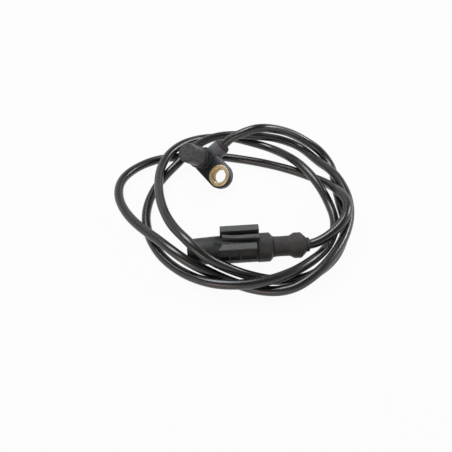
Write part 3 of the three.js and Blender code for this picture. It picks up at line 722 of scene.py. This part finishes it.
def make_housing():
    """The moulded head: lug plate, base, stepped barrel and cable boss joined, then hollowed."""
    groove = SEAL_SECTION_RADIUS + GAP
    lug = prism(stadium(LUG_RADIUS, LUG_REACH), -LUG_THICKNESS, 0, LUG_EDGE, 6)
    plate = mesh_object("sensor_body", lug, HEAD)
    barrel = rounded([
        (0, -1), (NECK_COLLAR_RADIUS, -1), (NECK_COLLAR_RADIUS, NECK_COLLAR_HEIGHT),
        (NECK_RADIUS, NECK_COLLAR_HEIGHT + NECK_COLLAR_RADIUS - NECK_RADIUS),
        (NECK_RADIUS, SEAL_HEIGHT - groove), (SEAL_GROOVE_RADIUS, SEAL_HEIGHT - groove),
        (SEAL_GROOVE_RADIUS, SEAL_HEIGHT + groove), (BARREL_RADIUS, SEAL_HEIGHT + groove),
        (BARREL_RADIUS, BARREL_LENGTH), (0, BARREL_LENGTH),
    ], [0, 0, 0.3, 0.4, 0.12, 0.12, 0.12, 0.2, 0.8, 0])
    base = rounded([(0, -BASE_DEPTH), (BASE_RADIUS, -BASE_DEPTH), (BASE_RADIUS, -1), (0, -1)],
                   [0, BASE_EDGE, 0, 0], 8)
    boss = rounded([(0, 0), (BOSS_RADIUS, 0), (BOSS_RADIUS, BOSS_LENGTH), (0, BOSS_LENGTH)],
                   [0, 0, BOSS_EDGE, 0], 5)
    solids = [mesh_object("solid", turned(barrel), HEAD), mesh_object("solid", turned(base), HEAD),
              mesh_object("solid", turned(boss, 72), BOSS)]
    chamber = [(0, CHAMBER_FLOOR), (CHAMBER_RADIUS, CHAMBER_FLOOR), (CHAMBER_RADIUS, BARREL_LENGTH + 1),
               (0, BARREL_LENGTH + 1)]
    under = BARREL_LENGTH - CAP_THICKNESS - GAP
    wide = CAP_RADIUS + CAP_CLEARANCE
    seat = [(0, under), (wide, under), (wide, BARREL_LENGTH + 1), (0, BARREL_LENGTH + 1)]
    wide = BUSH_RADIUS + BUSH_CLEARANCE
    bore = [(0, -LUG_THICKNESS - 1), (wide, -LUG_THICKNESS - 1), (wide, 1), (0, 1)]
    mouth = BOSS_LENGTH - GROMMET_LENGTH - GAP
    passage = [(0, 0), (PASSAGE_RADIUS, 0), (PASSAGE_RADIUS, mouth), (GROMMET_RADIUS + GAP, mouth),
               (GROMMET_RADIUS + GAP, BOSS_LENGTH + 1), (0, BOSS_LENGTH + 1)]
    hollows = [
        mesh_object("hollow", turned(chamber, 64), HEAD),
        mesh_object("hollow", turned(seat), HEAD),
        mesh_object("hollow", turned(bore), BUSH),
        mesh_object("hollow", turned(passage, 64), BOSS),
    ]
    outwards(plate)
    combined(plate, solids, "UNION")
    combined(plate, hollows, "DIFFERENCE")
    return smooth(outwards(plate, SLIVER), CREASE, weighted=True)


finish(make_housing(), HEAD_NYLON, "housing_plastic", "sensor_housing")


def make_bush():
    """The bush: a rectangle with rounded corners turned about the bolt's axis."""
    low, high = -LUG_THICKNESS - BUSH_PROUD, BUSH_PROUD
    ring = rounded([(BUSH_BORE, low), (BUSH_RADIUS, low), (BUSH_RADIUS, high), (BUSH_BORE, high)],
                   [0.4, 0.3, 0.3, 0.8], 5, closed=True)
    return smooth(outwards(mesh_object("compression_bush", turned(ring, 96, wrap=True), BUSH)), 40)


finish(make_bush(), BRASS, "bush_brass", "mounting_bush")


def make_seal_ring():
    """The O-ring: (R + r cos a, h + r sin a) turned about the barrel's axis."""
    angle = np.linspace(0, 2 * math.pi, 24, endpoint=False)
    middle = SEAL_GROOVE_RADIUS + GAP + SEAL_SECTION_RADIUS
    ring = np.stack([middle + SEAL_SECTION_RADIUS * np.cos(angle),
                     SEAL_HEIGHT + SEAL_SECTION_RADIUS * np.sin(angle)], 1)
    return smooth(outwards(mesh_object("o_ring", turned(ring, 96, wrap=True), HEAD)))


finish(make_seal_ring(), SEAL_NBR, "seal_rubber", "barrel_seal")


def make_cap():
    """The barrel's end cap: a disc on a shallower spigot, turned about the barrel's axis."""
    under = BARREL_LENGTH - CAP_THICKNESS
    spigot = CHAMBER_RADIUS - GAP
    disc = rounded([(0, under - CAP_SPIGOT), (spigot, under - CAP_SPIGOT), (spigot, under),
                    (CAP_RADIUS, under), (CAP_RADIUS, BARREL_LENGTH), (0, BARREL_LENGTH)],
                   [0, 0.15, 0, 0.1, 0.2, 0])
    return smooth(outwards(mesh_object("end_cap", turned(disc), HEAD)))


finish(make_cap(), HEAD_NYLON, "housing_plastic", "sensor_cap")


def make_relief():
    """The cable's moulded exit: radius tip + (base - tip) (1 - s ** 2.4) ** 0.6 over its length s."""
    start_at = BOSS_LENGTH + 0.05
    inner = CABLE_RADIUS + 0.1
    reach = np.linspace(0, 1, 15)
    radius = RELIEF_TIP_RADIUS + (RELIEF_RADIUS - RELIEF_TIP_RADIUS) * (1 - reach ** 2.4) ** 0.6
    dome = np.stack([radius, start_at + RELIEF_DOME * reach], 1)
    bore = [(inner, start_at + RELIEF_DOME), (inner, start_at)]
    wall = turned(np.vstack([dome, bore]), 64, wrap=True)
    return smooth(outwards(mesh_object("cable_sleeve", wall, BOSS)))


finish(make_relief(), BOOT_TPE, "boot_rubber", "strain_relief")


# Plug

def make_wall(side):
    """One wall of the latch guard: a rounded section carried along the plug, its ends sheared.

    Its tail leans forward towards the top, and the near wall's nose runs back from its outer edge:
    a point's station moves by lean times its share of the length, and by skew times the rest.
    """
    section = rounded([
        (side * RAIL_INNER, PLUG_RADIUS / 2), (side * RAIL_INNER, RAIL_TOP), (side * RAIL_OUTER, RAIL_TOP),
        (side * RAIL_OUTER, RAIL_FOOT), (side * PLUG_RADIUS * 0.93, RAIL_FOOT - 1.6),
        (side * SOCKET_RADIUS * 1.06, RAIL_FOOT),
    ], [0, 0.35, 0.55, 0.5, 0.2, 0], 5, closed=True)
    nose, tail, slope = NEAR_RAIL if side < 0 else FAR_RAIL
    points, faces = prism(section, nose, tail, 0.3)
    share = (points[:, 2] - nose) / (tail - nose)
    lean = slope * np.clip((points[:, 1] - PLUG_RADIUS) / (RAIL_TOP + 1 - PLUG_RADIUS), 0, 1)
    inwards = np.clip((RAIL_OUTER - np.abs(points[:, 0])) / (RAIL_OUTER - RAIL_INNER), 0, 1)
    skew = NEAR_RAIL_SKEW * inwards * (side < 0)
    points[:, 2] += (1 - share) * skew - share * lean
    return mesh_object("wall", (points, faces), PLUG_LATHE)


def make_tongue():
    """The latch tongue: a rounded box that widens by a quarter to its root, with a raised free end.

    A point's height grows by lift times the square of its share of the way to the free end.
    """
    outline = box_outline(-TONGUE_HALF_WIDTH, TONGUE_HALF_WIDTH,
                          TONGUE_TOP - TONGUE_THICKNESS, TONGUE_TOP, 0.4)
    root = RAIL_END + TONGUE_OVERLAP
    points, faces = prism(outline, TONGUE_START, root, 0.3, between=12)
    share = (points[:, 2] - TONGUE_START) / (root - TONGUE_START)
    points[:, 0] *= 0.85 + 0.25 * share
    points[:, 1] += TONGUE_LIFT * np.clip(1 - 2 * share, 0, 1) ** 2
    return mesh_object("tongue", (points, faces), PLUG_LATHE)


def make_plug():
    """The plug's moulding: round core with a collar, latch walls, tongue, panels and hollows."""
    back = COLLAR_END + COLLAR_CHAMFER
    core = rounded([
        (0, 0), (PLUG_NOSE_RADIUS, 0), (PLUG_RADIUS, PLUG_TAPER), (PLUG_GIRTH, NEAR_RAIL[0]),
        (PLUG_GIRTH, RAIL_END - COLLAR_LINE), (PLUG_GIRTH - COLLAR_LINE, RAIL_END - COLLAR_LINE),
        (PLUG_GIRTH - COLLAR_LINE, RAIL_END), (COLLAR_RADIUS + 0.1, RAIL_END),
        (COLLAR_RADIUS + 0.1, COLLAR_END), (COLLAR_RADIUS - COLLAR_CHAMFER, back), (0, back),
    ], [0, 0.5, 3.0, 6.0, 0, 0, 0, 0.1, 0.6, 0.3, 0], 6)
    body = mesh_object("plug_body", turned(core), PLUG_LATHE)
    walls = [make_wall(1), make_wall(-1), make_tongue()]
    floor = PLUG_RADIUS - RAMP_DEPTH
    trench = np.array([
        (RAMP_START, PLUG_GIRTH + 1), (RAMP_START, PLUG_GIRTH - 0.1), (TONGUE_START, floor),
        (RAIL_END - TONGUE_ROOT, floor), (RAIL_END - TONGUE_ROOT, PLUG_GIRTH + 1),
    ])
    crosswise = (PLUG_FRONT, np.array([PLUG_DIRECTION, np.array([0, 0, 1]), -PLUG_LEFT]))
    half = RAIL_INNER + TRENCH_OVERLAP
    under = mesh_object("trench", prism(trench, -half, half), crosswise)
    cuts = []
    for side, (nose, tail, _) in ((1, FAR_RAIL), (-1, NEAR_RAIL)):
        stops = [nose + PANEL_MARGIN, *PANEL_RIBS, min(tail, RAIL_END) - PANEL_MARGIN]
        for i in range(3):
            from_x = stops[i] + (PANEL_RIB_WIDTH / 2 if i else 0)
            to_x = stops[i + 1] - (PANEL_RIB_WIDTH / 2 if i < 2 else 0)
            panel = box_outline(from_x, to_x, PANEL_FOOT, RAIL_TOP - PANEL_MARGIN, 0.3)
            inner, outer = side * RAIL_OUTER - PANEL_DEPTH, side * RAIL_OUTER + PANEL_DEPTH
            cuts.append(mesh_object("panel", prism(panel, -outer, -inner), crosswise))
    socket = rounded([(0, -1), (SOCKET_RADIUS, -1), (SOCKET_RADIUS, SOCKET_DEPTH), (0, SOCKET_DEPTH)],
                     [0, 0, 0.3, 0])
    web = SOCKET_DEPTH + WEB_THICKNESS
    cavity = [(0, web), (CAVITY_RADIUS, web), (CAVITY_RADIUS, back + 1), (0, back + 1)]
    cuts.append(mesh_object("socket", turned(socket, 64), PLUG_LATHE))
    cuts.append(mesh_object("cavity", turned(cavity, 64), PLUG_LATHE))
    wide = PIN_RADIUS + PIN_CLEARANCE
    hole = [(0, SOCKET_DEPTH - 1), (wide, SOCKET_DEPTH - 1), (wide, web + 1), (0, web + 1)]
    points, faces = turned(hole, 32)
    for side in (-1, 1):
        cuts.append(mesh_object("hole", (points + [side * PIN_SPACING, 0, 0], faces), PLUG_LATHE))
    outwards(body)
    combined(body, [under], "DIFFERENCE")
    combined(body, walls, "UNION")
    combined(body, cuts, "DIFFERENCE")
    return smooth(outwards(body, SLIVER), CREASE, weighted=True)


plug_body = finish(make_plug(), PLUG_PBT, "plug_plastic", "plug_housing")


def make_boot():
    """The cable boot: a wall that swells to a bulge near its end, turned about the plug's axis."""
    join = COLLAR_END + COLLAR_CHAMFER + GAP
    spigot = CAVITY_RADIUS - GAP
    seat = RING_SPIGOT_RADIUS + GAP
    wall = rounded([
        (CABLE_RADIUS + GAP, join - BOOT_SPIGOT), (spigot, join - BOOT_SPIGOT), (spigot, join),
        (SLEEVE_RADIUS + 0.3, join), (SLEEVE_RADIUS, join + 1.2),
        (SLEEVE_RADIUS - 0.1, (join + BULGE_START) / 2), (SLEEVE_RADIUS, BULGE_START),
        (BULGE_RADIUS, BULGE_CREST[0]), (BULGE_RADIUS, BULGE_CREST[1]),
        (RING_RADIUS + 0.6, BOOT_END), (seat, BOOT_END), (seat, BOOT_END - RING_SPIGOT_LENGTH - GAP),
        (CABLE_RADIUS + GAP, BOOT_END - RING_SPIGOT_LENGTH - GAP),
    ], [0, 0.2, 0, 0.3, 0.8, 0, 1.2, 0.7, 0.7, 0.4, 0.2, 0, 0], 5, closed=True)
    return smooth(outwards(mesh_object("boot", turned(wall, 96, wrap=True), PLUG_LATHE)))


boot = finish(make_boot(), BOOT_TPE, "boot_rubber", "rear_boot")


def make_clamp_ring():
    """The ring that grips the cable: a collar on a thinner spigot, turned about the plug's axis."""
    seat = BOOT_END + GAP
    ring = rounded([
        (CABLE_RADIUS + GAP, BOOT_END - RING_SPIGOT_LENGTH),
        (RING_SPIGOT_RADIUS, BOOT_END - RING_SPIGOT_LENGTH), (RING_SPIGOT_RADIUS, seat),
        (RING_RADIUS, seat), (RING_RADIUS, PLUG_LENGTH), (CABLE_RADIUS + GAP, PLUG_LENGTH),
    ], [0, 0, 0, 0.15, 0.35, 0.15], 4, closed=True)
    return smooth(outwards(mesh_object("clamp_ring", turned(ring, 64, wrap=True), PLUG_LATHE)))


clamp_ring = finish(make_clamp_ring(), PLUG_PBT, "plug_plastic", "cable_clamp_ring")

# Inner solids keep their own mesh and get their finishes
kept = {
    "sensing_chip": EPOXY, "bias_magnet": FERRITE, "lead_carrier": WHITE_PBT, "boss_grommet": SEAL_NBR,
    "sensor_lead_a": TIN, "sensor_lead_b": TIN, "crimp_a": TIN, "crimp_b": TIN,
    "head_core_a": BLUE_CORE, "head_core_b": BROWN_CORE, "terminal_block": WHITE_PBT,
    "contact_pin_a": TIN, "contact_pin_b": TIN, "wire_seal_a": SILICONE, "wire_seal_b": SILICONE,
    "plug_core_a": BLUE_CORE, "plug_core_b": BROWN_CORE, "face_seal": SILICONE,
}
for node, material in kept.items():
    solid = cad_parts[node]
    solid.data.materials.clear()
    solid.data.materials.append(material)


# Floor and light

def shown(tree):
    """1 for rays from the camera and for those that a surface mirrors or lets through, else 0."""
    path = add(tree, "ShaderNodeLightPath").outputs
    either = add(tree, "ShaderNodeMath", {"operation": "MAXIMUM"},
                 {0: path["Is Camera Ray"], 1: path["Is Glossy Ray"]})
    any_of = add(tree, "ShaderNodeMath", {"operation": "MAXIMUM"},
                 {0: either.outputs["Value"], 1: path["Is Transmission Ray"]})
    return any_of.outputs["Value"]


def make_floor():
    """A pale table: nearly all white emission to the camera and in reflections, matt to other light.

    The matt share that the camera sees keeps the object's shadow.
    """
    half = 3.0
    mesh = bpy.data.meshes.new("floor")
    corners = [(-half, -half, 0), (half, -half, 0), (half, half, 0), (-half, half, 0)]
    mesh.from_pydata(corners, [], [(0, 1, 2, 3)])
    floor = bpy.data.objects.new("floor", mesh)
    bpy.context.scene.collection.objects.link(floor)
    made, tree = start("white_table")
    share = add(tree, "ShaderNodeMapRange", None, {"Value": shown(tree), "To Max": 0.95})
    matt = add(tree, "ShaderNodeBsdfDiffuse", None, {"Color": linear("#cbc3be")})
    white = add(tree, "ShaderNodeEmission", None, {"Color": linear("#ffffff"), "Strength": 1.0})
    both = add(tree, "ShaderNodeMixShader", None,
               {0: share.outputs["Result"], 1: matt.outputs["BSDF"], 2: white.outputs["Emission"]})
    add(tree, "ShaderNodeOutputMaterial", None, {"Surface": both.outputs["Shader"]})
    mesh.materials.append(made)


def make_light():
    """Three softboxes in a room that is white to the camera and lights matt surfaces dimly.

    In reflections its ceiling is dim, so that gloss stays in streaks.
    """
    world = bpy.data.worlds.new("studio")
    world.use_nodes = True
    tree = world.node_tree
    tree.nodes.clear()
    direction = add(tree, "ShaderNodeTexCoord").outputs["Generated"]
    height = add(tree, "ShaderNodeSeparateXYZ", None, {"Vector": direction}).outputs["Z"]
    ceiling = add(tree, "ShaderNodeMapRange", {"interpolation_type": "SMOOTHSTEP"},
                  {"Value": height, "From Min": 0.3, "From Max": 0.7, "To Min": 1.0, "To Max": 0.2})
    seen = add(tree, "ShaderNodeLightPath").outputs["Is Camera Ray"]
    mirrored = add(tree, "ShaderNodeMath", {"operation": "MAXIMUM"},
                   {0: ceiling.outputs["Result"], 1: seen})
    level = add(tree, "ShaderNodeMapRange", None,
                {"Value": shown(tree), "To Min": 0.3, "To Max": mirrored.outputs["Value"]})
    sky = add(tree, "ShaderNodeBackground", None,
              {"Color": linear("#ffffff"), "Strength": level.outputs["Result"]})
    add(tree, "ShaderNodeOutputWorld", None, {"Surface": sky.outputs["Background"]})
    bpy.context.scene.world = world
    # Name, place and size in metres, power in watts and tint
    softboxes = [
        ("top_softbox", (-0.2, 0.2, 0.64), (0.46, 0.28), 3.6, "#f8fbff"),
        ("edge_softbox", (0.5, 0.16, 0.35), (0.18, 0.12), 1.2, "#fbfcff"),
        ("low_softbox", (-0.25, -0.5, 0.2), (0.4, 0.16), 0.65, "#ffe0ce"),
    ]
    lit = Vector((0.015, -0.03, 0.0))
    for name, place, size, power, tint in softboxes:
        lamp = bpy.data.lights.new(name, "AREA")
        lamp.shape = "RECTANGLE"
        lamp.size, lamp.size_y = size
        lamp.energy = power
        lamp.color = linear(tint)[:3]
        made = bpy.data.objects.new(name, lamp)
        made.location = place
        aim = lit - Vector(place)
        made.rotation_euler = aim.to_track_quat("-Z", "Y").to_euler()
        bpy.context.scene.collection.objects.link(made)


make_floor()
make_light()
bpy.context.scene.view_settings.view_transform = "Standard"
